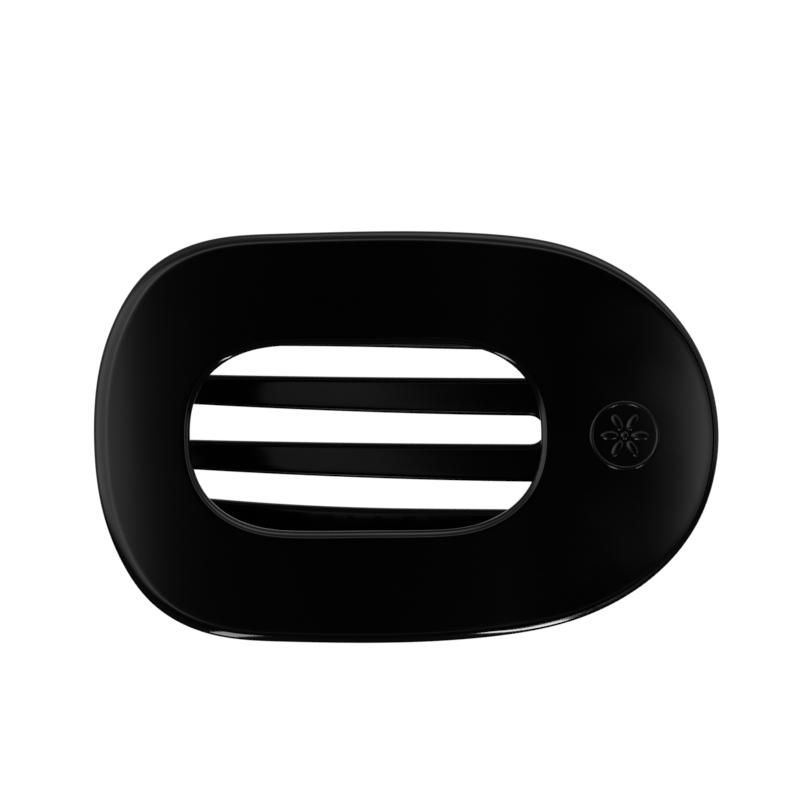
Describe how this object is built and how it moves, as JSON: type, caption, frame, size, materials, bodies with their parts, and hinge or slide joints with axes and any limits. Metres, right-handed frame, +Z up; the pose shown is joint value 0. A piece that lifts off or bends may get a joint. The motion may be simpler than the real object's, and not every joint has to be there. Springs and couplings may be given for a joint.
{
  "type": "claw hair clip",
  "caption": "Flat oval claw clip for hair: an arched cover plate with a long slot, hinged over a comb of hooked tines and held shut by a coil spring.",
  "frame": {"origin": "under the middle of the clip, on the surface that it lies on", "axes": "+X along the clip towards the thumb end, +Y across it, +Z up out of the cover plate's outer side; the clip lies on its comb jaw"},
  "size_m": [0.089, 0.059, 0.0216],
  "materials": {
    "cover": "polished black moulding",
    "comb": "polished black moulding",
    "pin": "drawn steel pin",
    "spring": "bright spring wire"
  },
  "bodies": {
    "comb": {"comb_jaw": "comb", "hinge_pin": "pin", "torsion_spring": "spring"},
    "cover": {"cover_plate": "cover"}
  },
  "joints": [
    {"name": "jaw_hinge", "type": "hinge", "parent": "comb", "child": "cover", "pos_m": [0.027, 0, 0.01425], "axis": [0, 1, 0], "range_deg": [0, 38], "stiffness_Nm_per_rad": 0.2, "springref_deg": -31.51, "deforming": ["torsion_spring"]}
  ]
}
